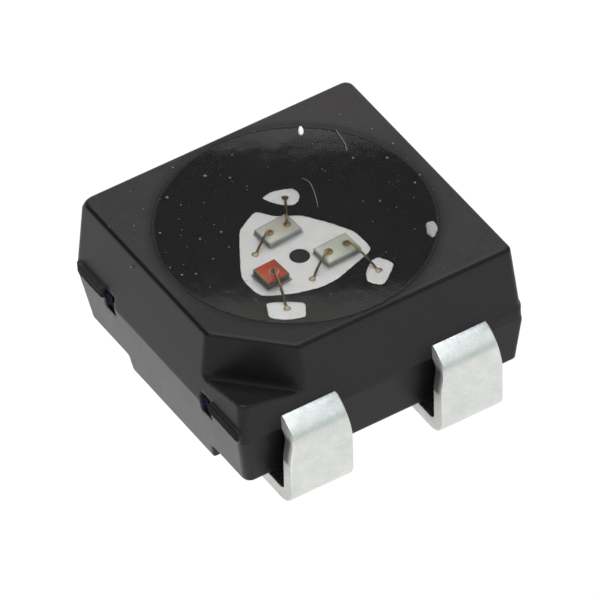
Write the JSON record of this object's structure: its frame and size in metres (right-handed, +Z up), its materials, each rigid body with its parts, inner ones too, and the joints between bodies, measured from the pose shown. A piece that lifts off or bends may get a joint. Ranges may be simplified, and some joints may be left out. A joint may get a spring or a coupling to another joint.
{
  "type": "surface-mount rgb led",
  "caption": "Black surface-mount LED package: J-bent solder leads, a cut corner, and a clear-filled round cup with red, green and blue chips on gold bond wires.",
  "frame": {"origin": "on the seating plane, under the middle of the package", "axes": "+Z up through the light-emitting face; leads leave the body on +X and -X; +Y runs along a lead side; the cut corner is at +X, -Y"},
  "size_m": [0.0034, 0.0032, 0.0018],
  "materials": {
    "black_moulding": "matte",
    "clear_resin": "gloss",
    "plated_lead": "satin",
    "bare_sheet_metal": "satin",
    "red_chip": "satin",
    "pale_chip": "satin",
    "silver_adhesive": "matte",
    "clear_adhesive": "gloss",
    "gold_contact": "satin",
    "gold_wire": "polished"
  },
  "bodies": {
    "root": {"housing": "black_moulding", "encapsulant": "clear_resin", "common_lead": "plated_lead", "red_lead": "plated_lead", "green_lead": "plated_lead", "blue_lead": "plated_lead", "tie_bar_stubs": "bare_sheet_metal", "red_die": "red_chip", "green_die": "pale_chip", "blue_die": "pale_chip", "red_die_attach": "silver_adhesive", "green_die_attach": "clear_adhesive", "blue_die_attach": "clear_adhesive", "red_die_pad": "gold_contact", "green_die_pads": "gold_contact", "blue_die_pads": "gold_contact", "red_wire": "gold_wire", "green_wire_signal": "gold_wire", "green_wire_common": "gold_wire", "blue_wire_signal": "gold_wire", "blue_wire_common": "gold_wire"}
  },
  "joints": []
}
